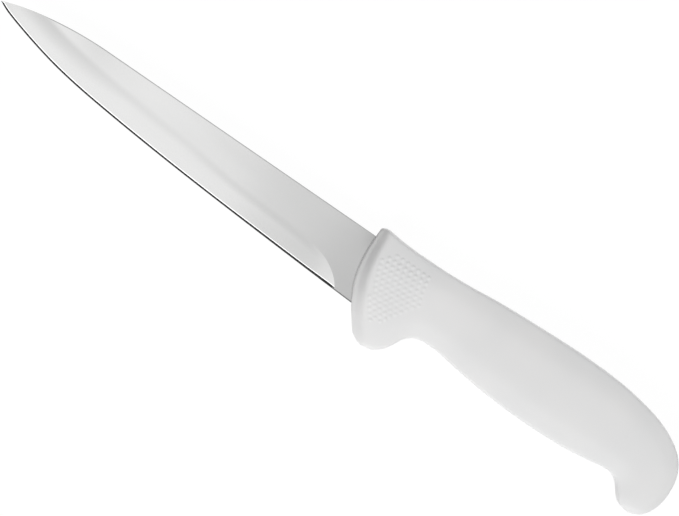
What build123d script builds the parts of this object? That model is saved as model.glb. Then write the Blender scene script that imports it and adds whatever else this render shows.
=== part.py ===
# Fillet knife: a thin stamped steel blade with a hidden tang, held in a white moulded handle.
# Drawn in the knife's own datum, then moved so that it lies on its side on the ground plane:
# X runs from the tip to the butt, Y runs from the cutting edge up to the spine, Z is the
# thickness. In the datum X = 0 is the foremost point of the handle, Y = 0 is the straight
# part of the spine and Z = 0 is the middle of the blade's thickness. Lengths are millimetres.
from build123d import *
from math import cos, pi, sin
import os

# Blade: the steel that shows in front of the handle
blade_length = 174.0          # tip to the foremost point of the handle
heel_height = 27.0            # spine to edge where the blade enters the handle
tip_drop = 7.4                # spine line down to the point
stock_thickness = 2.0         # finished blade in front of the handle
rolled_skin = 0.05            # steel that the finishing leaves on each side of the tang
finish_clearance = 0.1        # the finishing stops this far in front of the handle
edge_thickness = 0.36         # steel left behind the cutting edge before it is sharpened
bevel_height = 10.2           # height of the ground face above the edge
sharpened_height = 0.78       # height of the sharpened strip at the edge
apex_thickness = 0.06         # steel left at the very edge
grind_end = 1.6               # both grinds run out this far in front of the handle
run_out = 30.0                # and the ground face sinks to the edge over this length

# Tang: the part of the same steel that is hidden in the handle
shoulder_depth = 10.0         # full blade height runs this far into the handle
tang_length = 106.0           # foremost point of the handle to the end of the tang
tang_height = 14.0            # at the shoulder
tang_end_height = 9.0         # at its rounded end
tang_drop = 3.0               # spine line down to the top of the tang at the shoulder
tang_end_drop = 5.0           # the same at its end
tang_corner = 2.0             # radius in the two inner corners at the shoulder
tang_hole = 5.0               # holes that the moulded core grips through
tang_hole_count = 3

# Handle
handle_length = 152.7         # foremost point to the back of the butt
handle_depth = 46.6           # top of the palm swell down to the tip of the finger guard
palm_thickness = 22.6         # widest, across the palm swell
front_bow = 4.8               # how far the front face bulges towards the blade
skin_wall = 4.5               # outer moulding over the core
key_groove_width = 4.0        # grooves round the core that the outer moulding fills
key_groove_depth = 1.2
key_groove_pitch = 14.0
overrun = 5.0                 # cutting shapes run past what they cut by this much

# Ribs of the handle from the front face to the end of the hooked butt. Each rib crosses the
# handle from its top line to its under line. Columns: the top point's place along and its
# height, the under point's place along and its height, half the thickness, and the bulge
# towards the blade. Places are shares of handle_length, heights of handle_depth measured
# from the spine line, and the last two are shares of half of palm_thickness and front_bow.
rib_shares = (
    (0.004, 0.077, 0.093, -0.779, 0.11, 1.00),
    (0.006, 0.086, 0.096, -0.788, 0.28, 1.00),
    (0.012, 0.099, 0.110, -0.814, 0.40, 1.00),
    (0.032, 0.107, 0.142, -0.829, 0.79, 1.00),
    (0.044, 0.102, 0.154, -0.820, 0.82, 0.98),
    (0.070, 0.093, 0.169, -0.793, 0.83, 0.88),
    (0.108, 0.087, 0.186, -0.741, 0.83, 0.69),
    (0.142, 0.086, 0.200, -0.665, 0.82, 0.48),
    (0.174, 0.087, 0.215, -0.580, 0.80, 0.27),
    (0.205, 0.089, 0.238, -0.528, 0.78, 0.12),
    (0.241, 0.095, 0.268, -0.510, 0.76, 0.04),
    (0.285, 0.105, 0.308, -0.514, 0.75, 0.00),
    (0.340, 0.124, 0.358, -0.538, 0.78, 0.00),
    (0.410, 0.141, 0.420, -0.562, 0.85, 0.00),
    (0.495, 0.155, 0.500, -0.582, 0.94, 0.00),
    (0.585, 0.166, 0.585, -0.590, 1.00, 0.00),
    (0.675, 0.165, 0.667, -0.584, 1.00, 0.00),
    (0.757, 0.149, 0.738, -0.564, 0.96, 0.00),
    (0.828, 0.113, 0.793, -0.536, 0.91, 0.00),
    (0.887, 0.062, 0.829, -0.520, 0.87, 0.00),
    (0.934, -0.010, 0.851, -0.526, 0.83, 0.00),
    (0.970, -0.103, 0.866, -0.549, 0.80, 0.00),
    (0.991, -0.215, 0.877, -0.579, 0.77, 0.00),
    (0.999, -0.330, 0.885, -0.612, 0.74, 0.00),
    (1.000, -0.440, 0.893, -0.645, 0.70, 0.00),
    (0.994, -0.545, 0.901, -0.673, 0.64, 0.00),
    (0.982, -0.630, 0.910, -0.694, 0.55, 0.00),
    (0.966, -0.684, 0.919, -0.706, 0.41, 0.00),
    (0.952, -0.706, 0.928, -0.712, 0.25, 0.00),
    (0.944, -0.714, 0.934, -0.715, 0.10, 0.00),
)

# How every rib runs from its top point to its under point: shares of its own length, of its
# half thickness and of its bulge, one row for each point that pulls the curve
pull_shares = (
    (0.00, 0.00, 0.00),
    (0.00, 0.64, 0.00),
    (0.03, 0.73, 0.10),
    (0.15, 0.86, 0.46),
    (0.27, 0.985, 0.79),
    (0.50, 1.00, 1.11),
    (0.73, 0.985, 0.79),
    (0.85, 0.86, 0.46),
    (0.97, 0.73, 0.10),
    (1.00, 0.64, 0.00),
    (1.00, 0.00, 0.00),
)
pull_degree = 3
core_start_share = 0.17       # the core follows the ribs whose top points lie between these
core_end_share = 0.83

# Blade outline: shares of blade_length in front of the handle, then of tip_drop or of
# heel_height below the spine line
spine_curve_shares = ((0.731, 0.0), (0.822, 0.10), (0.900, 0.36), (0.957, 0.67))
edge_curve_shares = (
    (0.980, 0.338),
    (0.957, 0.389),
    (0.912, 0.470),
    (0.822, 0.604),
    (0.663, 0.737),
    (0.436, 0.852),
    (0.209, 0.933),
    (0.028, 0.989),
)
heel_corner_share = 1.011     # height of the blank at the shoulder, of heel_height
strip_fade_power = 0.25       # how late the sharpened strip narrows in the run-out
even_station_count = 12       # sections of the grind at full height
run_out_station_count = 7     # and in the run-out
last_station_share = 0.96     # the last section, as a share of the quarter turn
past_ridge_share = 0.1        # the cut goes on past its upper line by this share of its height
tang_round_share = 0.45       # corner radius at the end of the tang, of tang_end_height

half_stock = stock_thickness / 2
half_palm = palm_thickness / 2


def rib_curve(row, inset, side):
    """One side of one rib, drawn in by inset all round, as a smooth curve."""
    top_along, top_up, foot_along, foot_up, thick_share, bow_share = row
    top = Vector(top_along * handle_length, top_up * handle_depth)
    foot = Vector(foot_along * handle_length, foot_up * handle_depth)
    down = (foot - top).normalized()
    top = top + down * inset
    foot = foot - down * inset
    forward = Vector(down.Y, -down.X)
    points = []
    for length_share, width_share, bulge_share in pull_shares:
        half_width = (half_palm * thick_share - inset) * width_share
        middle = top + (foot - top) * length_share
        middle = middle + forward * (front_bow * bow_share * bulge_share)
        points.append(Vector(middle.X, middle.Y, side * half_width))
    spans = len(points) - pull_degree
    knots = [0] * pull_degree + list(range(spans + 1)) + [spans] * pull_degree
    return Edge.make_bspline(points, knots, pull_degree)


def ribbed_solid(rows, inset):
    """A closed solid through the ribs: two mirrored sides and a narrow strip at each end."""
    left = Shell.make_loft([Wire([rib_curve(row, inset, 1)]) for row in rows]).faces()[0]
    right = left.mirror(Plane.XY)
    ends = [
        Face.make_surface_from_curves(rib_curve(row, inset, 1), rib_curve(row, inset, -1))
        for row in (rows[0], rows[-1])
    ]
    return Solid(Shell(Face.sew_faces([left, right] + ends)[0]))


def spine_curve():
    """The spine where it falls from the straight part to the point."""
    points = [(-along * blade_length, -drop * tip_drop) for along, drop in spine_curve_shares]
    return Edge.make_spline(points + [(-blade_length, -tip_drop)])


def edge_curve():
    """The cutting edge from the point to the hidden shoulder in the handle."""
    points = [(-along * blade_length, -drop * heel_height) for along, drop in edge_curve_shares]
    corner = (shoulder_depth, -heel_corner_share * heel_height)
    return Edge.make_spline([(-blade_length, -tip_drop)] + points + [corner])


def blank_outline():
    """The blade as it is stamped, up to the shoulder."""
    spine_fall = spine_curve()
    edge = edge_curve()
    spine = Edge.make_line((shoulder_depth, 0), spine_fall @ 0)
    shoulder = Edge.make_line(edge @ 1, (shoulder_depth, 0))
    return Face(Wire([spine, spine_fall, edge, shoulder]))


def tang_middle(along):
    """Height of the tang's middle line at a place along the handle."""
    start = -tang_drop - tang_height / 2
    end = -tang_end_drop - tang_end_height / 2
    return start + (end - start) * (along - shoulder_depth) / (tang_length - shoulder_depth)


def tang_outline():
    """The tapered tang with its rounded end and the holes along its middle line."""
    corners = (
        (shoulder_depth, -tang_drop),
        (tang_length, -tang_end_drop),
        (tang_length, -tang_end_drop - tang_end_height),
        (shoulder_depth, -tang_drop - tang_height),
    )
    tang = make_face(Polyline(*corners, close=True))
    end_corners = tang.vertices().sort_by(Axis.X)[-2:]
    tang = fillet(end_corners, tang_round_share * tang_end_height)
    for i in range(tang_hole_count):
        share = (i + 1) / (tang_hole_count + 1)
        along = shoulder_depth + (tang_length - shoulder_depth) * share
        tang -= Pos(along, tang_middle(along)) * Circle(tang_hole / 2)
    return tang


def grind_stations():
    """Places along the blade where the grind is drawn, with its height above the edge:
    even steps at full height, then a quarter ellipse down to the run-out."""
    ellipse_middle = -grind_end - run_out
    first = -blade_length - overrun
    step = (ellipse_middle - first) / even_station_count
    stations = [(first + step * i, bevel_height) for i in range(even_station_count)]
    for i in range(run_out_station_count):
        turn = last_station_share * pi / 2 * i / (run_out_station_count - 1)
        stations.append((ellipse_middle + run_out * sin(turn), bevel_height * cos(turn)))
    return stations


def edge_height(edge, along):
    """Height of the edge at a place along the blade, carried on straight past the point."""
    if along < -blade_length:
        start = edge @ 0
        slope = (edge % 0).Y / (edge % 0).X
        return start.Y + slope * (along - start.X)
    upright = Edge.make_line((along, 0), (along, -2 * heel_height))
    return edge.intersect(upright).vertices()[0].Y


def grind():
    """What the wheels take from the left side: outside the ground face, which thins the
    blade towards the edge, and outside the steeper sharpened strip at the edge itself."""
    edge = edge_curve()
    low = edge_thickness / 2
    apex = apex_thickness / 2
    clear = half_stock + overrun
    sections = []
    for along, height in grind_stations():
        base = edge_height(edge, along)
        slope = (half_stock - low) / height
        strip = sharpened_height * (height / bevel_height) ** strip_fade_power
        strip_half = low + slope * strip
        strip_slope = (strip_half - apex) / strip
        past_ridge = height * past_ridge_share
        corners = (
            (base - strip, apex - strip_slope * strip),
            (base + strip, strip_half),
            (base + height + past_ridge, half_stock + slope * past_ridge),
            (base + height + past_ridge, clear),
            (base - strip, clear),
        )
        sections.append(Wire.make_polygon([(along, up, side) for up, side in corners]))
    return Solid.make_loft(sections)


def make_blank():
    """The steel as it is stamped, blade and tang in one, still at its rolled thickness."""
    outline = blank_outline() + tang_outline()
    at_shoulder = outline.vertices().filter_by_position(
        Axis.X, shoulder_depth, shoulder_depth
    )
    outline = fillet(at_shoulder.sort_by(Axis.Y)[1:3], tang_corner)
    return extrude(outline, half_stock + rolled_skin, both=True)


def finishing(handle):
    """What comes off the left side when the blade is finished flat, close up to the handle."""
    span = 2 * (blade_length + overrun)
    slab = Box(span, span, overrun, align=(Align.CENTER, Align.CENTER, Align.MIN))
    return Pos(0, 0, half_stock) * slab - Pos(-finish_clearance, 0, 0) * handle


def make_blade(blank, handle):
    """The blank, finished flat, ground thin towards the edge from both sides and sharpened."""
    blade = blank
    for left_cut in (finishing(handle), grind()):
        blade = blade - left_cut - left_cut.mirror(Plane.XY)
    return blade


def core_rows():
    """The ribs that the core follows."""
    return [row for row in rib_shares if core_start_share < row[0] < core_end_share]


def key_grooves():
    """Bands across the core, deep enough to be cut back to the groove floor."""
    start = core_rows()[0][2] * handle_length
    count = int((tang_length - start) / key_groove_pitch)
    span = handle_depth + overrun
    band = Box(key_groove_width, 2 * span, 2 * span)
    return [Pos(start + key_groove_pitch * (i + 1)) * band for i in range(count)]


def make_core(blank):
    """The first moulding: it follows the handle inside the outer wall, is ringed by grooves
    and runs through the tang's holes. Returned with and without the room for the tang."""
    full = ribbed_solid(core_rows(), skin_wall)
    floor = ribbed_solid(core_rows(), skin_wall + key_groove_depth)
    for band in key_grooves():
        full -= band - floor
    return full, full - blank


blank = make_blank()
handle = ribbed_solid(rib_shares, 0)      # finger guard, palm swell and hooked butt
blade = make_blade(blank, handle)
full_core, core = make_core(blank)
grip = handle - full_core - blank
pieces = {"blade": blade, "handle_core": core, "handle_grip": grip}

whole = blade.bounding_box(optimal=True).add(grip.bounding_box(optimal=True))
to_ground = Location((-whole.center().X, -whole.center().Y, -whole.min.Z))
os.makedirs("parts", exist_ok=True)
for name, piece in pieces.items():
    export_step(to_ground * piece, f"parts/{name}.step")
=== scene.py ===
# Fillet knife on a pale floor: satin steel blade, white moulded handle with dotted thumb pads.
# Metres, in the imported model's frame: the knife lies on its side, tip towards -X, spine
# towards +Y. Every surface is drawn from the knife's own zero point: X = 0 at the front of
# the handle, Y = 0 at the straight spine and Z = 0 in the middle of the blade.
import math
import bmesh
import bpy
import numpy as np
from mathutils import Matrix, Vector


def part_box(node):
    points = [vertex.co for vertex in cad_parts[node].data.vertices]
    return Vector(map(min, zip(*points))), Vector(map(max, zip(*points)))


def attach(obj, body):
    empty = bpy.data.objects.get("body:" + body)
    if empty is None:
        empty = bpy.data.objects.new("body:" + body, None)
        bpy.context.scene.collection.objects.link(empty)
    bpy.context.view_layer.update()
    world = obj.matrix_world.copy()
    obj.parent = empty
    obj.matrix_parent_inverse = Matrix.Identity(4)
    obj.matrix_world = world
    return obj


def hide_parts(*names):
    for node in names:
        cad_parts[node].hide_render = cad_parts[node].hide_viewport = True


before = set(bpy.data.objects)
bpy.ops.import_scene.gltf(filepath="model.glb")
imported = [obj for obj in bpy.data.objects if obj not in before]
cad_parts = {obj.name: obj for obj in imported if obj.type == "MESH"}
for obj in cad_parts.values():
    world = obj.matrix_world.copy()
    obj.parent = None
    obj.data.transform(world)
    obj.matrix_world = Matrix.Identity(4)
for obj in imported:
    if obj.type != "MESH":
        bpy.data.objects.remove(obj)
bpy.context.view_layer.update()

mm = 0.001
scene = bpy.context.scene


def smoothThrough(knots, values, at):
    # Cubic curve through the values: the slopes at the knots solve one matrix, so that the
    # bend runs on smoothly from span to span, and each end span keeps its neighbour's bend
    step = np.diff(knots)
    rise = np.diff(values, axis=0) / step[:, None]
    count = len(knots)
    matrix = np.zeros((count, count))
    right = np.zeros_like(values)
    inner = np.arange(1, count - 1)
    matrix[inner, inner - 1] = step[1:]
    matrix[inner, inner] = 2 * (step[:-1] + step[1:])
    matrix[inner, inner + 1] = step[:-1]
    right[1:-1] = 3 * (step[1:, None] * rise[:-1] + step[:-1, None] * rise[1:])
    matrix[0, :2] = 1
    matrix[-1, -2:] = 1
    right[0] = 2 * rise[0]
    right[-1] = 2 * rise[-1]
    slope = np.linalg.solve(matrix, right)
    span = np.clip(np.searchsorted(knots, at, side="right") - 1, 0, count - 2)
    part = ((at - knots[span]) / step[span])[:, None]
    width = step[span][:, None]
    return (
        values[span] * (1 + 2 * part) * (1 - part) ** 2
        + values[span + 1] * part ** 2 * (3 - 2 * part)
        + slope[span] * width * part * (1 - part) ** 2
        - slope[span + 1] * width * part ** 2 * (1 - part)
    )


def evenOut(places, spacing):
    # Sample places whose distance follows the wanted spacing at each place
    gone = np.concatenate([[0], np.cumsum(np.diff(places) / ((spacing[:-1] + spacing[1:]) / 2))])
    return np.interp(np.linspace(0, gone[-1], int(math.ceil(gone[-1])) + 1), gone, places)


def meshPiece(name, points, faces, materials, faceMaterial=None, carried=()):
    # One object from points in the knife's own frame, moved to where the model has the knife.
    # Carried values are kept at its points for the materials
    mesh = bpy.data.meshes.new(name)
    mesh.from_pydata((points + knifeZero).tolist(), [], faces)
    for material in materials:
        mesh.materials.append(material)
    if faceMaterial is not None:
        mesh.polygons.foreach_set("material_index", faceMaterial.astype(np.int32))
    mesh.polygons.foreach_set("use_smooth", np.ones(len(faces), bool))
    for label, values in dict(carried).items():
        mesh.attributes.new(label, "FLOAT", "POINT").data.foreach_set("value", values.ravel())
    mesh.validate()
    mesh.update()
    piece = bpy.data.objects.new(name, mesh)
    scene.collection.objects.link(piece)
    return piece


def ringFaces(rowCount, ringCount):
    # Quads between each closed ring of points and the next
    row, column = np.meshgrid(np.arange(rowCount - 1), np.arange(ringCount), indexing="ij")
    here = row * ringCount + column
    beside = row * ringCount + (column + 1) % ringCount
    return np.stack([here, beside, beside + ringCount, here + ringCount], -1).reshape(-1, 4)


def capFaces(ringCount, first, flip):
    # Closes one ring whose far side mirrors its near side, with quads straight across
    half = ringCount // 2
    near = np.arange(1, half - 1)
    quads = np.stack([near, near + 1, ringCount - near - 1, ringCount - near], -1) + first
    ends = [
        [first, first + 1, first + ringCount - 1],
        [first + half - 1, first + half, first + half + 1],
    ]
    faces = quads.tolist() + ends
    return [face[::-1] for face in faces] if flip else faces


# Camera: straight down, turned so that the knife lies across the picture as photographed
camera = {
    "pictureWidth": 0.2680,
    "turn": 34.56,
    "middle": (0.0042, 0.0002),
    "lens": 120.0,
    "sensor": 36.0,
    "farthest": 10.0,
}


def makeCamera():
    data = bpy.data.cameras.new("camera")
    data.lens = camera["lens"]
    data.sensor_width = camera["sensor"]
    data.clip_end = camera["farthest"]
    eye = bpy.data.objects.new("camera", data)
    scene.collection.objects.link(eye)
    bladeLow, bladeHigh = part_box("blade")
    away = camera["pictureWidth"] * data.lens / data.sensor_width
    eye.location = (*camera["middle"], (bladeLow.z + bladeHigh.z) / 2 + away)
    eye.rotation_euler = (0, 0, math.radians(camera["turn"]))
    scene.camera = eye


makeCamera()


# Shader nodes
noiseRoughness = 0.55


def newMaterial(name, metallic=0.0):
    material = bpy.data.materials.new(name)
    material.use_nodes = True
    tree = material.node_tree
    shader = tree.nodes["Principled BSDF"]
    shader.inputs["Metallic"].default_value = metallic
    return material, tree, shader


def grainOf(tree, stretch, detail=3.0):
    # Noise in object space, drawn out along the axes where stretch is small
    coordinates = tree.nodes.new("ShaderNodeTexCoord")
    mapping = tree.nodes.new("ShaderNodeMapping")
    mapping.inputs["Scale"].default_value = stretch
    noise = tree.nodes.new("ShaderNodeTexNoise")
    noise.inputs["Scale"].default_value = 1.0
    noise.inputs["Detail"].default_value = detail
    noise.inputs["Roughness"].default_value = noiseRoughness
    tree.links.new(coordinates.outputs["Object"], mapping.inputs["Vector"])
    tree.links.new(mapping.outputs["Vector"], noise.inputs["Vector"])
    return noise.outputs["Fac"]


def spread(tree, factor, low, high, start=0.3, stop=0.7, curve="LINEAR"):
    # Turns a value from start to stop, where noise mostly lies, into one from low to high
    stretchOut = tree.nodes.new("ShaderNodeMapRange")
    stretchOut.interpolation_type = curve
    stretchOut.inputs["From Min"].default_value = start
    stretchOut.inputs["From Max"].default_value = stop
    stretchOut.inputs["To Min"].default_value = low
    stretchOut.inputs["To Max"].default_value = high
    tree.links.new(factor, stretchOut.inputs["Value"])
    return stretchOut.outputs["Result"]


def tint(tree, factor, dark, light):
    # Mixes two colours by a factor. Each is three numbers or what another node gives out
    mix = tree.nodes.new("ShaderNodeMix")
    mix.data_type = "RGBA"
    for socket, colour in (("A", dark), ("B", light)):
        if isinstance(colour, tuple):
            mix.inputs[socket].default_value = (*colour, 1)
        else:
            tree.links.new(colour, mix.inputs[socket])
    tree.links.new(factor, mix.inputs["Factor"])
    return mix.outputs["Result"]


def fromMesh(tree, name):
    # A value that the mesh carries at every point
    value = tree.nodes.new("ShaderNodeAttribute")
    value.attribute_name = name
    return value.outputs["Fac"]


def combine(tree, operation, first, second=0.0):
    # One sum on a value, with a plain number or another value
    joined = tree.nodes.new("ShaderNodeMath")
    joined.operation = operation
    tree.links.new(first, joined.inputs[0])
    if isinstance(second, float):
        joined.inputs[1].default_value = second
    else:
        tree.links.new(second, joined.inputs[1])
    return joined.outputs[0]


def bumpFrom(tree, shader, layers):
    # Stacks bump layers, each a height with its strength and its depth in metres
    normal = None
    for height, strength, depth in layers:
        bump = tree.nodes.new("ShaderNodeBump")
        bump.inputs["Strength"].default_value = strength
        bump.inputs["Distance"].default_value = depth
        tree.links.new(height, bump.inputs["Height"])
        if normal is not None:
            tree.links.new(normal, bump.inputs["Normal"])
        normal = bump.outputs["Normal"]
    tree.links.new(normal, shader.inputs["Normal"])


steel = {
    "dark": (0.485, 0.485, 0.483),
    "light": (0.515, 0.515, 0.513),
    "roughness": (0.17, 0.21),
    "polishLines": (120, 9000, 9000),     # streaks per metre along, across and through
    "lineBump": (0.35, 0.0000015),        # strength, and depth in metres
    "clouds": (18, 60, 60),
    "cloudDetail": 2.0,
    "paintedShadeColour": (0.16, 0.16, 0.16),      # painted shade colour of the ridge band, the contact shadow line and the shaded spots
    "contactShadowReach": 0.42 * mm,               # painted contact shadow beside the handle: its reach, and how dark it is
    "contactShadowDark": 0.5,
}


def satinSteel():
    material, tree, shader = newMaterial("satinSteel", metallic=1.0)
    lines = grainOf(tree, steel["polishLines"])
    clouds = grainOf(tree, steel["clouds"], steel["cloudDetail"])
    clean = tint(tree, spread(tree, clouds, 0, 1), steel["dark"], steel["light"])
    # painted shade: darker in a soft band along the ridge, as strong as the ridge value says, a
    # painted contact shadow in a thin line where the steel goes into the handle, and painted
    # shade in a few soft spots
    toRidge = fromMesh(tree, "toRidge")
    below = spread(tree, toRidge, 0, 1, -1, 0, "SMOOTHSTEP")
    above = spread(tree, toRidge, 1, 0, 0, 1, "SMOOTHSTEP")
    # painted shade in a soft band along the ridge
    band = combine(tree, "MULTIPLY", above, below)
    band = combine(tree, "MULTIPLY", band, fromMesh(tree, "ridgePaintedShade"))
    toHandle = fromMesh(tree, "toHandle")
    # painted contact shadow: a thin dark line on the steel where it goes into the handle
    contactShadow = spread(tree, toHandle, 0, steel["contactShadowDark"], -steel["contactShadowReach"], 0)
    dark = combine(tree, "MAXIMUM", band, contactShadow)
    # adds the painted shade of the spots
    dark = combine(tree, "ADD", dark, fromMesh(tree, "paintedSpotShade"))
    # paints the shade marks towards the dark colour
    tree.links.new(tint(tree, dark, clean, steel["paintedShadeColour"]), shader.inputs["Base Color"])
    tree.links.new(spread(tree, lines, *steel["roughness"]), shader.inputs["Roughness"])
    bumpFrom(tree, shader, [(lines, *steel["lineBump"])])
    return material


# The blade's narrow finishes, whose colours paint a highlight and shade: strokes per metre
# along, across and through, the two colours they mix, and the roughness
narrowSteels = {
    "brightSteel": ((120, 9000, 9000), (0.95, 0.95, 0.95), (0.99, 0.99, 0.99), 0.3),
    "spineSteel": ((300, 2000, 2000), (0.38, 0.38, 0.38), (0.50, 0.50, 0.50), 0.4),
    "heelSteel": ((2000, 300, 2000), (0.15, 0.15, 0.15), (0.22, 0.22, 0.22), 0.45),
}


def narrowSteel(name):
    # One of three: a painted highlight of near-white steel on the fine line above the honed
    # strip, painted shade of darker steel on the spine's round corner, and of near-black steel
    # on the heel's edge
    strokes, dark, light, roughness = narrowSteels[name]
    material, tree, shader = newMaterial(name, metallic=1.0)
    colour = tint(tree, grainOf(tree, strokes), dark, light)
    tree.links.new(colour, shader.inputs["Base Color"])
    shader.inputs["Roughness"].default_value = roughness
    return material


honed = {
    "dark": (0.025, 0.025, 0.025),
    "light": (0.055, 0.055, 0.055),
    "roughness": (0.32, 0.5),
    "strokes": (5200, 500, 500),
    "strokeBump": (0.5, 0.000006),
}


def honedSteel():
    # The sharpened strip, with strokes across it; its near-black colour is a painted shade
    material, tree, shader = newMaterial("honedSteel", metallic=1.0)
    strokes = grainOf(tree, honed["strokes"])
    colour = tint(tree, spread(tree, strokes, 0, 1), honed["dark"], honed["light"])
    tree.links.new(colour, shader.inputs["Base Color"])
    tree.links.new(spread(tree, strokes, *honed["roughness"]), shader.inputs["Roughness"])
    bumpFrom(tree, shader, [(strokes, *honed["strokeBump"])])
    return material


plastic = {
    "shade": (0.857, 0.859, 0.860),
    "pale": (0.893, 0.889, 0.886),
    "roughness": (0.42, 0.55),
    "refraction": 1.49,
    "mouldGrain": (2600, 2600, 2600),
    "grainDetail": 2.0,
    "grainBump": (0.3, 0.00002),
    "sinkMarks": (40, 40, 40),
    "sinkDetail": 1.0,
    "sinkBump": (0.4, 0.00015),
}


def mouldedPlastic():
    # Matt white, with a fine grain and wide faint sink marks
    material, tree, shader = newMaterial("mouldedPlastic")
    grain = grainOf(tree, plastic["mouldGrain"], plastic["grainDetail"])
    sink = grainOf(tree, plastic["sinkMarks"], plastic["sinkDetail"])
    colour = tint(tree, spread(tree, sink, 0, 1), plastic["shade"], plastic["pale"])
    tree.links.new(colour, shader.inputs["Base Color"])
    tree.links.new(spread(tree, grain, *plastic["roughness"]), shader.inputs["Roughness"])
    shader.inputs["IOR"].default_value = plastic["refraction"]
    bumpFrom(tree, shader, [(grain, *plastic["grainBump"]), (sink, *plastic["sinkBump"])])
    return material


innerPlastic = {
    "shade": (0.74, 0.74, 0.72),
    "pale": (0.8, 0.8, 0.78),
    "roughness": 0.6,
    "grainBump": (0.2, 0.00002),
}


def corePlastic():
    material, tree, shader = newMaterial("corePlastic")
    grain = grainOf(tree, plastic["mouldGrain"], plastic["grainDetail"])
    colour = tint(tree, spread(tree, grain, 0, 1), innerPlastic["shade"], innerPlastic["pale"])
    tree.links.new(colour, shader.inputs["Base Color"])
    shader.inputs["Roughness"].default_value = innerPlastic["roughness"]
    bumpFrom(tree, shader, [(grain, *innerPlastic["grainBump"])])
    return material


# Blade: finished faces, a ground face that thins the steel to the edge, and a honed strip
blade = {
    "length": 174.0 * mm,
    "heelHeight": 27.0 * mm,
    "tipDrop": 7.4 * mm,
    "thickness": 2.0 * mm,
    "edgeThickness": 0.36 * mm,
    "apexThickness": 0.06 * mm,
    "shoulder": 10.0 * mm,            # where the steel steps down to the tang in the handle
    "cornerDrop": 1.011,              # the hidden corner there, as a share of the heel's height
    # shares of the length in front of the handle, then of the tip's drop or the heel's height
    "spineCurve": ((0.731, 0.0), (0.822, 0.10), (0.900, 0.36), (0.957, 0.67), (1.0, 1.0)),
    "edgeCurve": (
        (0.980, 0.338), (0.957, 0.389), (0.912, 0.470), (0.822, 0.604),
        (0.663, 0.737), (0.436, 0.852), (0.209, 0.933), (0.028, 0.989),
    ),
    "curveSamples": 1200,
    # the ground face: its height, its greatest slope, and the run-out before the heel, whose
    # curve has two powers. The last row of the grind lies short of the run-out's end
    "groundHeight": 10.2 * mm,
    "steepest": 0.105,
    "grindEnd": 1.1 * mm,
    "runOut": 30.0 * mm,
    "fullness": (3.2, 1.3),
    "lastTurn": 0.89 * math.pi / 2,
    "heelSpread": 0.7,                # how fast the lines spread past it over the plain heel
    # height of the honed strip at places along the blade, both in mm, where it ends in front
    # of the handle, and the height of the painted highlight line above it
    "honedHeight": ((-60, 0.74), (-15, 0.88), (-4, 1.08)),
    "honedEnd": 2.4 * mm,
    "brightLine": 0.28 * mm,
    "fadePower": 0.06,                # how slowly the strip narrows where the grind runs out
    "heelLine": 0.5 * mm,             # band of painted shade along the unsharpened heel
    "heelBevel": 0.04 * mm,
    "spineRound": 0.42 * mm,
    "ridgeRound": ((-34 * mm, 0.9 * mm), (-10 * mm, 0.12 * mm)),      # reach, at two places
    # painted shade along the ridge: how dark, at places along the blade in mm
    "ridgePaintedShade": (
        (-174, 0.22), (-160, 0.28), (-150, 0.28), (-140, 0.22), (-124, 0.16), (-104, 0.09),
        (-80, 0.08), (-62, 0.15), (-50, 0.16), (-30, 0.14), (-20, 0.12), (-13, 0.0),
    ),
    # how far below the ridge that painted shade is darkest, and how far below that it fades out
    "ridgeDrop": ((-80, 0.0), (-60, 1.2), (-20, 1.4)),
    "ridgeFade": ((-140, 7.0), (-125, 5.5), (-110, 3.4), (-60, 2.8)),
    "ridgeSoft": 2.6 * mm,            # how far above that it fades out
    # painted shade in spots, the last a contact shadow: middle along and up, reach along and up,
    # in mm, and strength
    "paintedShadeSpots": (
        (-131, -1.5, 9, 5, 0.09), (-62, -2, 22, 7, 0.07), (3, -1, 5.5, 5, 0.3),
    ),
    # rows: the steps from the tip on, how the last of them grows and how often, the even step,
    # the rows of the run-out and the step over the heel
    "tipSteps": (0.02 * mm, 0.2 * mm, 0.6 * mm),
    "tipGrowth": 1.12,
    "tipRows": 14,
    "evenStep": 1.5 * mm,
    "runOutRows": 60,
    "heelStep": 0.4 * mm,
    # lines: of the spine's round corner, of the flat and the ground face each, and of the
    # rounded ridge, as shares of its reach
    "cornerLines": 5,
    "faceLines": 12,
    "ridgeLines": (1.0, 0.6, 0.3, 0.0, -0.3, -0.6, -1.0),
    # near the tip: the least depth, and the most that strip and ridge take of the depth, the
    # ridge's softness of the faces beside it, and the round corner of the flat
    "leastDepth": 0.004 * mm,
    "mostStrip": 0.6,
    "mostRidge": 0.96,
    "mostSoft": 0.3,
    "leastSoft": 0.0005 * mm,
    "mostCorner": 0.2,
    "sharpAngle": 11,                 # degrees from which an edge is shown sharp
}
bladeLow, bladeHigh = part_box("blade")
knifeZero = np.array([
    bladeLow.x + blade["length"], bladeHigh.y, (bladeLow.z + bladeHigh.z) / 2
])


def alongCurve(points, at):
    # Height at the places in at, of the smooth curve through the points
    points = np.array(points)
    reach = np.concatenate([[0], np.cumsum(np.hypot(*np.diff(points, axis=0).T))])
    fine = smoothThrough(reach, points, np.linspace(0, reach[-1], blade["curveSamples"]))
    order = np.argsort(fine[:, 0])
    return np.interp(at, fine[order, 0], fine[order, 1])


def bladeOutline(along):
    # Spine and edge height: the spine is level, then falls to the tip in a smooth curve, and
    # the edge is one smooth curve from the tip to the hidden corner in the handle
    length, drop, heel = blade["length"], blade["tipDrop"], blade["heelHeight"]
    spinePoints = [(-share * length, -fall * drop) for share, fall in blade["spineCurve"]]
    spine = alongCurve(spinePoints, along)
    spine = np.where(along > spinePoints[0][0], 0, spine)
    edgePoints = [(-length, -drop)]
    edgePoints += [(-share * length, -fall * heel) for share, fall in blade["edgeCurve"]]
    edgePoints += [(blade["shoulder"], -blade["cornerDrop"] * heel)]
    return spine, alongCurve(edgePoints, along)


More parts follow.
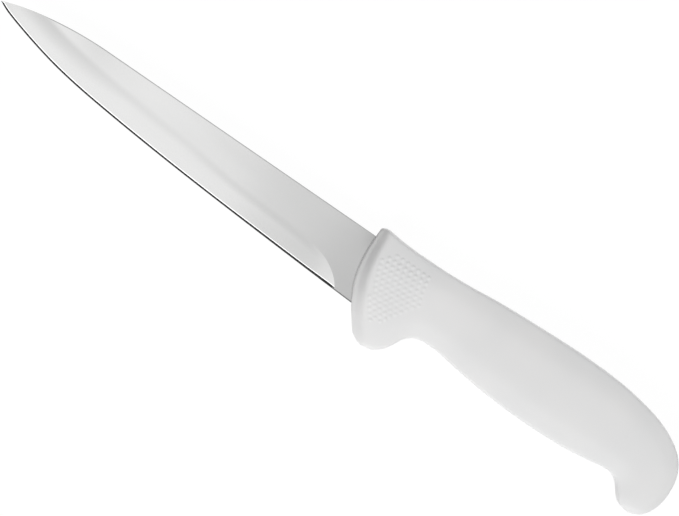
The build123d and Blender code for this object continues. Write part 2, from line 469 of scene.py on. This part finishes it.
def groundHeight(along):
    # Height of the ground face above the edge: level, then down to the end in a curve that
    # turns like a wide ellipse and comes in nearly straight
    part = np.clip((along + blade["grindEnd"] + blade["runOut"]) / blade["runOut"], 0, 1)
    turn, straightness = blade["fullness"]
    return blade["groundHeight"] * (1 - part ** turn) ** (1 / straightness)


def inTable(name, along):
    # The value that a table of places and values gives, straight from one place to the next
    return np.interp(along, *np.array(blade[name]).T)


def paintedSpotShade(along, up):
    # Painted shade: a sum of round spots, each a bell curve
    spots = np.array(blade["paintedShadeSpots"])[:, :, None]
    return (spots[:, 4] * np.exp(-((along - spots[:, 0]) / spots[:, 2]) ** 2
                                 - ((up - spots[:, 1]) / spots[:, 3]) ** 2)).sum(0)


tang = {
    "start": 9.5 * mm,
    "length": 106.0 * mm,
    "height": 14.0 * mm,
    "endHeight": 9.0 * mm,
    "drop": 3.0 * mm,
    "endDrop": 5.0 * mm,
    "corner": 4.0 * mm,
    "cornerPoints": 12,
    "thickness": 2.1 * mm,
    "hole": 5.0 * mm,
    "holePoints": 32,
    "holeCount": 3,
    "weld": 0.001 * mm,
}


def tangPlate(firstPoint):
    # The hidden tang: a tapered outline with quarter circles at its end, less a row of round
    # holes, filled and given its thickness
    start, end, corner = tang["start"], tang["length"], tang["corner"]
    top, foot = -tang["endDrop"], -tang["endDrop"] - tang["endHeight"]
    quarter = np.linspace(0, math.pi / 2, tang["cornerPoints"])
    outline = [(start, -tang["drop"])]
    outline += [
        (end - corner + corner * math.sin(a), top - corner + corner * math.cos(a))
        for a in quarter
    ]
    outline += [
        (end - corner + corner * math.cos(a), foot + corner - corner * math.sin(a))
        for a in quarter
    ]
    outline += [(start, -tang["drop"] - tang["height"])]
    loops = [np.array(outline)]
    circle = np.linspace(0, 2 * math.pi, tang["holePoints"] + 1)[:-1]
    startMiddle = -tang["drop"] - tang["height"] / 2
    for share in np.arange(1, tang["holeCount"] + 1) / (tang["holeCount"] + 1):
        middle = blade["shoulder"] + (end - blade["shoulder"]) * share
        level = startMiddle + ((top + foot) / 2 - startMiddle) * share
        ring = np.stack([np.cos(circle), np.sin(circle)], -1) * tang["hole"] / 2
        loops.append(ring + (middle, level))
    curve = bpy.data.curves.new("tangOutline", "CURVE")
    curve.dimensions = "2D"
    curve.fill_mode = "BOTH"
    curve.extrude = tang["thickness"] / 2
    for loop in loops:
        spline = curve.splines.new("POLY")
        spline.points.add(len(loop) - 1)
        flat = np.concatenate([loop, np.zeros((len(loop), 1)), np.ones((len(loop), 1))], 1)
        spline.points.foreach_set("co", flat.ravel())
        spline.use_cyclic_u = True
    drawn = bpy.data.objects.new("tangOutline", curve)
    mesh = bpy.data.meshes.new_from_object(drawn)
    work = bmesh.new()
    work.from_mesh(mesh)
    bmesh.ops.remove_doubles(work, verts=work.verts, dist=tang["weld"])
    bmesh.ops.recalc_face_normals(work, faces=work.faces)
    work.to_mesh(mesh)
    work.free()
    points = np.empty(len(mesh.vertices) * 3)
    mesh.vertices.foreach_get("co", points)
    faces = [[point + firstPoint for point in face.vertices] for face in mesh.polygons]
    bpy.data.objects.remove(drawn)
    bpy.data.curves.remove(curve)
    bpy.data.meshes.remove(mesh)
    return points.reshape(-1, 3), faces


def bladeRows():
    # Places along the blade, and which of them are on the ground face: steps that grow from
    # the tip, then even ones, even turns of a quarter circle over the run-out, and even steps
    # over the heel into the handle
    growing = blade["tipSteps"][-1] * blade["tipGrowth"] ** np.arange(blade["tipRows"])
    steps = np.concatenate([blade["tipSteps"][:-1], growing])
    front = -blade["length"] + np.concatenate([[0], np.cumsum(steps)])
    start = -blade["grindEnd"] - blade["runOut"]
    middle = np.arange(front[-1] + blade["evenStep"], start, blade["evenStep"])
    turns = np.linspace(0, blade["lastTurn"], blade["runOutRows"])
    runOut = start + blade["runOut"] * np.sin(turns)
    end = start + blade["runOut"] * math.sin(blade["lastTurn"])
    heel = np.arange(end, blade["shoulder"], blade["heelStep"])
    along = np.concatenate([front, middle, runOut, heel])
    return along, np.arange(len(along)) < len(along) - len(heel)


def bladeSection(along, ground):
    # The lines down one side, each as a height, a half thickness and a height above the ridge.
    # Half thickness is a soft minimum of flat face and ground face, and below the strip's
    # upper line it falls straight to the apex
    half = blade["thickness"] / 2
    low, apex = blade["edgeThickness"] / 2, blade["apexThickness"] / 2
    spine, edge = bladeOutline(along)
    end = along[~ground][0]
    past = groundHeight(end) + blade["heelSpread"] * (along - end)
    height = np.where(ground, groundHeight(along), past)
    slope = np.minimum((half - low) / height, blade["steepest"])
    strip = inTable("honedHeight", along / mm) * mm
    strip = strip * (height / blade["groundHeight"]) ** blade["fadePower"]
    strip = np.where(ground, strip, blade["heelLine"])
    deep = np.maximum(spine - edge, blade["leastDepth"])
    strip = np.minimum(strip, blade["mostStrip"] * deep)
    ridge = np.minimum(height, blade["mostRidge"] * deep)
    softness = inTable("ridgeRound", along)
    beside = np.minimum(ridge - strip, deep - ridge)
    softness = np.minimum(softness, blade["mostSoft"] * beside)
    softness = np.maximum(softness, blade["leastSoft"])
    corner = np.minimum(blade["spineRound"], blade["mostCorner"] * (deep - ridge))
    # heights above the edge, from the spine down: rounded corner, flat, ridge, ground, strip
    shares = np.linspace(0, 1, blade["faceLines"] + 1)
    top = deep - corner
    ridgeFoot = ridge - softness
    flatLines = top[:, None] + (ridge + softness - top)[:, None] * shares[:-1]
    ridgeLines = ridge[:, None] + softness[:, None] * np.array(blade["ridgeLines"])
    bright = np.minimum(strip + blade["brightLine"], (strip + ridgeFoot) / 2)
    groundLines = ridgeFoot[:, None] + (bright - ridgeFoot)[:, None] * shares[1:]
    lines = np.concatenate([flatLines, ridgeLines, groundLines, strip[:, None]], 1)
    straight = half + slope[:, None] * (lines - height[:, None])
    soft = (softness * slope)[:, None]
    gap = np.clip((straight - half + soft) / (2 * soft), 0, 1)
    rounded = straight - soft * gap ** 2      # parabola that joins the two faces smoothly
    side = np.where(straight < half - soft, straight, rounded)
    side = np.where(straight > half + soft, half, side)
    side = np.where(ground[:, None], side, half)
    arc = np.linspace(0, math.pi / 2, blade["cornerLines"] + 1)[:-1]
    cornerHeights = top[:, None] + corner[:, None] * np.cos(arc)
    cornerSides = side[:, :1] - corner[:, None] * (1 - np.sin(arc))
    apexSide = np.minimum(apex, side[:, -1] / 2)
    apexSide = np.where(ground, apexSide, half - blade["heelBevel"])[:, None]
    heights = np.concatenate([cornerHeights, lines, np.zeros((len(along), 1))], 1)
    sides = np.concatenate([cornerSides, side, apexSide], 1)
    return edge[:, None] + heights, sides, heights - height[:, None]


def bladeFinish(along, ground, lineCount):
    # Which material each quad of the rings has: honed strip, painted highlight line, spine,
    # the heel's edge, or else satin
    count = 2 * lineCount
    column = np.tile(np.arange(count), len(along) - 1)
    row = np.repeat(np.arange(len(along) - 1), count)
    fromEdge = np.abs(column - lineCount + 1)
    nearEdge = fromEdge <= 1
    onStrip = nearEdge & (along[row] < -blade["honedEnd"])
    onBright = (fromEdge == 2) & (row < int(ground.sum()) - 1)
    corner = blade["cornerLines"]
    onSpine = (column < corner) | (column >= count - 1 - corner)
    return np.select([onStrip, onBright, onSpine, nearEdge], [1, 2, 3, 4], 0)


def makeBlade(materials):
    # Rings round the blade at places along it. In each, the lines go from the middle of the
    # spine down one side, over the ridge and the honed strip to the edge, and back up the
    # other side
    along, ground = bladeRows()
    up, sides, aboveRidge = bladeSection(along, ground)
    place = np.broadcast_to(along[:, None], up.shape)
    left = np.stack([place, up, sides], -1)
    right = left[:, ::-1] * (1, 1, -1)
    rings = np.concatenate([left, right], 1)
    count = rings.shape[1]
    last = (len(along) - 1) * count
    platePoints, plateFaces = tangPlate(last + count)
    points = np.concatenate([rings.reshape(-1, 3), platePoints])
    faces = ringFaces(len(along), count).tolist()
    faces += [list(range(count))[::-1], list(range(last, last + count))]
    faces += plateFaces
    finish = bladeFinish(along, ground, up.shape[1])
    finish = np.concatenate([finish, np.zeros(len(faces) - len(finish), int)])
    # how far above the painted shade's middle, or below it, as a share of where it fades out
    above = aboveRidge + inTable("ridgeDrop", along / mm)[:, None] * mm
    fade = inTable("ridgeFade", along / mm)[:, None] * mm
    above = np.where(above > 0, above / blade["ridgeSoft"], above / fade)
    above = np.concatenate([above, above[:, ::-1]], 1).ravel()
    piece = meshPiece("bladeSteel", points, faces, materials, finish, {
        "toRidge": np.concatenate([above, np.ones(len(platePoints))]),
        "ridgePaintedShade": inTable("ridgePaintedShade", points[:, 0] / mm),
        "paintedSpotShade": paintedSpotShade(points[:, 0] / mm, points[:, 1] / mm),
        "toHandle": points[:, 0] - frontLine(points[:, 1]),
    })
    piece.data.set_sharp_from_angle(angle=math.radians(blade["sharpAngle"]))
    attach(piece, "root")
    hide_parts("blade")


# Handle: ribs from the front face to the hooked butt, with dotted thumb pads on both sides
handle = {
    "length": 152.7 * mm,
    "depth": 46.6 * mm,
    "palm": 22.6 * mm,
    "frontBow": 4.8 * mm,
    "acrossSteps": 178,               # points of each rib's half
    "loftSamples": 2000,
    "alongSpacing": 1.15 * mm,        # from row to row
    "padSpacing": 0.30 * mm,          # the same on the thumb pads
    "padReach": (4.5 * mm, 33 * mm),  # where the guiding pole lies for that
    "guidePole": 3,
    "endSpacing": (0.12 * mm, 8 * mm),        # at both ends, and how it widens from there
    # top point along and up, under point along and up, half thickness, bulge: shares of
    # length, depth, half the palm and frontBow
    "ribs": (
        (0.004, 0.077, 0.093, -0.779, 0.11, 1.00), (0.006, 0.086, 0.096, -0.788, 0.28, 1.00),
        (0.012, 0.099, 0.110, -0.814, 0.40, 1.00), (0.032, 0.107, 0.142, -0.829, 0.79, 1.00),
        (0.044, 0.102, 0.154, -0.820, 0.82, 0.98), (0.070, 0.093, 0.169, -0.793, 0.83, 0.88),
        (0.108, 0.087, 0.186, -0.741, 0.83, 0.69), (0.142, 0.086, 0.200, -0.665, 0.82, 0.48),
        (0.174, 0.087, 0.215, -0.580, 0.80, 0.27), (0.205, 0.089, 0.238, -0.528, 0.78, 0.12),
        (0.241, 0.095, 0.268, -0.510, 0.76, 0.04), (0.285, 0.105, 0.308, -0.514, 0.75, 0.00),
        (0.340, 0.124, 0.358, -0.538, 0.78, 0.00), (0.410, 0.141, 0.420, -0.562, 0.85, 0.00),
        (0.495, 0.155, 0.500, -0.582, 0.94, 0.00), (0.585, 0.166, 0.585, -0.590, 1.00, 0.00),
        (0.675, 0.165, 0.667, -0.584, 1.00, 0.00), (0.757, 0.149, 0.738, -0.564, 0.96, 0.00),
        (0.828, 0.113, 0.793, -0.536, 0.91, 0.00), (0.887, 0.062, 0.829, -0.520, 0.87, 0.00),
        (0.934, -0.010, 0.851, -0.526, 0.83, 0.00), (0.970, -0.103, 0.866, -0.549, 0.80, 0.00),
        (0.991, -0.215, 0.877, -0.579, 0.77, 0.00), (0.999, -0.330, 0.885, -0.612, 0.74, 0.00),
        (1.000, -0.440, 0.893, -0.645, 0.70, 0.00), (0.994, -0.545, 0.901, -0.673, 0.64, 0.00),
        (0.982, -0.630, 0.910, -0.694, 0.55, 0.00), (0.966, -0.684, 0.919, -0.706, 0.41, 0.00),
        (0.952, -0.706, 0.928, -0.712, 0.25, 0.00), (0.944, -0.714, 0.934, -0.715, 0.10, 0.00),
    ),
    # the fillet behind the guard's front band: a place on it along and down, its lean, how deep
    # it is taken off, its reach, and the depths between which it starts
    "fillet": (14.6 * mm, 28 * mm, 0.58, 0.66 * mm, 3.6 * mm, (21 * mm, 30 * mm)),
    "filletFade": 2,                  # how quickly it fades where the surface turns sideways
    # what pulls each rib's curve: shares of its length, half thickness and bulge
    "pulls": (
        (0.00, 0.00, 0.00), (0.00, 0.64, 0.00), (0.03, 0.73, 0.10), (0.15, 0.86, 0.46),
        (0.27, 0.985, 0.79), (0.50, 1.00, 1.11), (0.73, 0.985, 0.79), (0.85, 0.86, 0.46),
        (0.97, 0.73, 0.10), (1.00, 0.64, 0.00), (1.00, 0.00, 0.00),
    ),
}

thumbPad = {
    "pitch": 2.474 * mm,              # from dot to dot in a row
    "rowPitch": (2.4368 * mm, 6.4),   # of the first rows, and how fast it narrows, per metre
    "rowStart": 0.80,                 # of a step, before the first row and the first column
    "columnStart": 0.78,
    "slant": (0.0511, 14.1),          # lean of the columns, and how fast it grows, per metre
    "dotRadius": 1.08 * mm,
    "dotHeight": 0.30 * mm,
    # outline of the dotted pad: top, front edge and its lean, corner at the top, back edge
    # with its lean, and foot edge with its depth and lean
    "top": 0.7 * mm,
    "frontEdge": 4.45 * mm,
    "frontLean": (0.21, 6.2),
    "topCorner": 11.3 * mm,
    "backEdge": (28.3 * mm, 0.27),
    "footEdge": (31.3 * mm, 11.8 * mm, 0.705),
}


def ribPoles():
    # The points that pull each rib's curve, one row of points for each rib
    ribs = np.array(handle["ribs"])
    pulls = np.array(handle["pulls"])
    top = ribs[:, 0:2] * (handle["length"], handle["depth"])
    foot = ribs[:, 2:4] * (handle["length"], handle["depth"])
    down = foot - top
    forward = np.stack([down[:, 1], -down[:, 0]], -1) / np.linalg.norm(down, axis=1)[:, None]
    share, width, bulge = pulls.T
    bow = ribs[:, 5]
    flat = top[:, None] + down[:, None] * share[:, None]
    flat = flat + forward[:, None] * (handle["frontBow"] * bow[:, None] * bulge)[..., None]
    side = handle["palm"] / 2 * ribs[:, 4][:, None] * width
    return np.concatenate([flat, side[..., None]], -1)


def splineWeights(count, poles, degree=3):
    # How much each pole counts at even steps along a clamped spline
    spans = poles - degree
    knots = np.concatenate([np.zeros(degree), np.arange(spans + 1), np.full(degree, spans)])
    at = np.minimum(np.linspace(0, spans, count), spans - 1e-9)
    weights = ((at[:, None] >= knots[:-1]) & (at[:, None] < knots[1:])).astype(float)
    for order in range(1, degree + 1):
        lower, upper = knots[:-order - 1], knots[order + 1:]
        startGap = knots[order:-1] - lower
        endGap = upper - knots[1:-order]
        rising = (at[:, None] - lower) / np.where(startGap > 0, startGap, 1)
        rising = np.where(startGap > 0, rising, 0)
        falling = (upper - at[:, None]) / np.where(endGap > 0, endGap, 1)
        falling = np.where(endGap > 0, falling, 0)
        weights = rising * weights[:, :-1] + falling * weights[:, 1:]
    return weights


def frontLine(up):
    # Where the handle's front edge runs beside the blade, at heights from the spine line
    line = splineWeights(handle["acrossSteps"], len(handle["pulls"])) @ ribPoles()[0]
    return np.interp(-up, -line[:, 1], line[:, 0])


def dotHeights(along, down):
    # Height of the dots: each is a smooth dome on a leaning lattice, whole or not at all. The
    # lattice turns a place into a column and a row, and the nearest whole pair is a dot
    lean, leanGrowth = thumbPad["slant"]
    rowPitch, narrowing = thumbPad["rowPitch"]
    column = (along - lean * down - leanGrowth * down ** 2) / thumbPad["pitch"]
    column = column - thumbPad["columnStart"]
    row = (down + narrowing * down ** 2) / rowPitch - thumbPad["rowStart"]
    nearColumn, nearRow = np.round(column), np.round(row)
    level = (nearRow + thumbPad["rowStart"]) * rowPitch
    dotDown = (np.sqrt(1 + 4 * narrowing * np.maximum(level, 0)) - 1) / (2 * narrowing)
    dotAlong = (nearColumn + thumbPad["columnStart"]) * thumbPad["pitch"]
    dotAlong = dotAlong + lean * dotDown + leanGrowth * dotDown ** 2
    away = np.hypot(along - dotAlong, down - dotDown) / thumbPad["dotRadius"]
    frontLean, frontGrowth = thumbPad["frontLean"]
    backEdge, backLean = thumbPad["backEdge"]
    footEdge, footDown, footLean = thumbPad["footEdge"]
    inside = dotDown > thumbPad["top"]
    inside &= dotAlong > thumbPad["frontEdge"] + frontLean * dotDown + frontGrowth * dotDown ** 2
    inside &= dotAlong + dotDown > thumbPad["topCorner"] + thumbPad["top"]
    inside &= dotAlong < backEdge + backLean * (dotDown - thumbPad["top"])
    inside &= dotAlong < footEdge - footLean * (dotDown - footDown)
    dome = thumbPad["dotHeight"] * (1 - np.minimum(away, 1) ** 2) ** 2
    return np.where(inside & (away < 1), dome, 0)


def filletDepth(along, down):
    # Plastic taken off along a leaning line on the guard, as a bell curve across the line that
    # grows from nothing to its full depth down the guard
    start, level, lean, depth, reach, grows = handle["fillet"]
    across = (along - start - lean * (down - level)) / reach
    part = np.clip((down - grows[0]) / (grows[1] - grows[0]), 0, 1)
    return depth * part ** 2 * (3 - 2 * part) * np.exp(-across ** 2)


def makeHandle(material):
    # Each rib is a spline through its poles, and a smooth curve runs through like points of
    # all ribs. The dots rise along the surface's own normal, and the fillet goes in along it
    poles = ribPoles()
    gap = np.linalg.norm(np.diff(poles, axis=0), axis=2).mean(1)
    reach = np.concatenate([[0], np.cumsum(gap)])
    fine = np.linspace(0, reach[-1], handle["loftSamples"])
    guide = np.interp(fine, reach, poles[:, handle["guidePole"], 0])
    padFrom, padTo = handle["padReach"]
    inPad = (guide > padFrom) & (guide < padTo)
    nearEnd = np.minimum(fine, reach[-1] - fine) / handle["length"]
    leastSpacing, widening = handle["endSpacing"]
    spacing = np.where(inPad, handle["padSpacing"], handle["alongSpacing"])
    spacing = np.minimum(spacing, leastSpacing + widening * nearEnd)
    rows = evenOut(fine, spacing)
    lofted = smoothThrough(reach, poles.reshape(len(poles), -1), rows).reshape(len(rows), -1, 3)
    left = splineWeights(handle["acrossSteps"], poles.shape[1]) @ lofted
    alongRows = np.gradient(left, axis=0)
    acrossRows = np.gradient(left, axis=1)
    normal = np.cross(acrossRows, alongRows)
    normal /= np.maximum(np.linalg.norm(normal, axis=2, keepdims=True), 1e-12)
    normal *= np.sign(normal[..., 2:].mean())
    along, down = left[..., 0], -left[..., 1]
    facing = np.clip(handle["filletFade"] * normal[..., 2], 0, 1)
    raised = dotHeights(along, down) - filletDepth(along, down) * facing
    left = left + normal * raised[..., None]
    right = left[:, -2:0:-1] * (1, 1, -1)
    rings = np.concatenate([left, right], 1)
    count = rings.shape[1]
    faces = ringFaces(len(rows), count)[:, ::-1].tolist()
    faces += capFaces(count, 0, False)
    faces += capFaces(count, (len(rows) - 1) * count, True)
    print("handle rows", len(rows), "ring", count, "faces", len(faces))
    piece = meshPiece("handleGrip", rings.reshape(-1, 3), faces, [material])
    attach(piece, "root")
    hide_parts("handle_grip")


makeBlade([
    satinSteel(), honedSteel(),
    narrowSteel("brightSteel"), narrowSteel("spineSteel"), narrowSteel("heelSteel"),
])
print("blade made")
makeHandle(mouldedPlastic())
print("handle made")
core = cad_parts["handle_core"]
core.data.materials.clear()
core.data.materials.append(corePlastic())
print("core dressed")


# Studio: pale floor, soft world light, two wide soft lamps and four cards
studio = {
    "floorHalf": 3.0,
    "floorColour": (0.8, 0.8, 0.8),
    "floorGlow": 1.05,
    "floorShare": 0.08,               # how much of the real light and shadow is seen on it
    "ambient": (0.50, 0.05),          # full from the knife's two long sides, low past its ends
    "ambientFade": (0.15, 0.80),
    "ambientShift": -0.28,            # moves the fade, so that less comes from past the tip
    # lamps that light the knife without a reflection of their own: place, the point on the
    # floor that they face, size and power
    "lamps": {
        "keyFromEdgeSide": ((0.05, -0.9, 1.0), (0, 0), (0.9, 0.9), 12.35),
        "fillFromSpineSide": ((0.32, 1.35, 0.38), (0, 0), (1.2, 0.6), 6.3),
    },
    # cards that are only reflected and face straight down: place, size and power
    "cards": {
        "cardOverBlade": ((-0.16, 0.03, 0.35), (0.22, 0.16), 0.0682),
        "cardOverGround": ((-0.16, -0.14, 0.35), (0.22, 0.18), 0.0837),
        "cardOverHeel": ((-0.015, -0.145, 0.35), (0.11, 0.14), 0.0275),
        "cardOverFlat": ((-0.024, 0.02, 0.35), (0.04, 0.18), 0.0066),
    },
}


def whenSeen(tree):
    # 1 for rays that come from the camera, a reflection or a clear material
    path = tree.nodes.new("ShaderNodeLightPath").outputs
    seen = combine(tree, "MAXIMUM", path["Is Camera Ray"], path["Is Glossy Ray"])
    return combine(tree, "MAXIMUM", seen, path["Is Transmission Ray"])


def mixInto(tree, factor, first, second, kind):
    # Gives out a mix of two shaders as the surface
    mix = tree.nodes.new("ShaderNodeMixShader")
    output = tree.nodes.new(kind)
    tree.links.new(factor, mix.inputs["Fac"])
    tree.links.new(first.outputs[0], mix.inputs[1])
    tree.links.new(second.outputs[0], mix.inputs[2])
    tree.links.new(mix.outputs["Shader"], output.inputs["Surface"])


def makeFloor():
    # Plain white where it's seen, but for a small share of the real light and shadow
    half = studio["floorHalf"]
    corners = [(-half, -half, 0), (half, -half, 0), (half, half, 0), (-half, half, 0)]
    mesh = bpy.data.meshes.new("floor")
    mesh.from_pydata(corners, [], [(0, 1, 2, 3)])
    floor = bpy.data.objects.new("floor", mesh)
    scene.collection.objects.link(floor)
    material = bpy.data.materials.new("paleFloor")
    material.use_nodes = True
    tree = material.node_tree
    tree.nodes.clear()
    matt = tree.nodes.new("ShaderNodeBsdfDiffuse")
    matt.inputs["Color"].default_value = (*studio["floorColour"], 1)
    glow = tree.nodes.new("ShaderNodeEmission")
    glow.inputs["Strength"].default_value = studio["floorGlow"]
    share = combine(tree, "MULTIPLY", whenSeen(tree), 1 - studio["floorShare"])
    mixInto(tree, share, matt, glow, "ShaderNodeOutputMaterial")
    mesh.materials.append(material)


def makeWorld():
    # Plain white where it's seen. Its light falls off from the middle of the X axis, moved by
    # ambientShift, to both ends
    world = bpy.data.worlds.new("studioAir")
    scene.world = world
    world.use_nodes = True
    tree = world.node_tree
    tree.nodes.clear()
    way = tree.nodes.new("ShaderNodeTexCoord")
    part = tree.nodes.new("ShaderNodeSeparateXYZ")
    tree.links.new(way.outputs["Generated"], part.inputs["Vector"])
    shifted = combine(tree, "ADD", part.outputs["X"], studio["ambientShift"])
    endwise = combine(tree, "ABSOLUTE", shifted)
    ambient = tree.nodes.new("ShaderNodeBackground")
    white = tree.nodes.new("ShaderNodeBackground")
    for background in (ambient, white):
        background.inputs["Color"].default_value = (1, 1, 1, 1)
    strength = spread(tree, endwise, *studio["ambient"], *studio["ambientFade"])
    tree.links.new(strength, ambient.inputs["Strength"])
    mixInto(tree, whenSeen(tree), ambient, white, "ShaderNodeOutputWorld")


def makeLamp(name, place, aim, size, power, isCard):
    # One soft rectangle, turned so that it faces its aim on the floor
    data = bpy.data.lights.new(name, "AREA")
    data.shape = "RECTANGLE"
    data.size, data.size_y = size
    data.energy = power
    light = bpy.data.objects.new(name, data)
    light.visible_diffuse = not isCard
    light.visible_glossy = isCard
    scene.collection.objects.link(light)
    light.location = place
    away = np.array(place) - (*aim, 0)
    away = away / np.linalg.norm(away)
    turn = math.atan2(away[1], away[0]) + math.pi / 2 if away[2] < 1 else 0
    light.rotation_euler = (math.acos(away[2]), 0, turn)


makeFloor()
makeWorld()
for name, (place, aim, size, power) in studio["lamps"].items():
    makeLamp(name, place, aim, size, power, False)
for name, (place, size, power) in studio["cards"].items():
    makeLamp(name, place, place[:2], size, power, True)
scene.view_settings.view_transform = "Standard"
print("studio made")
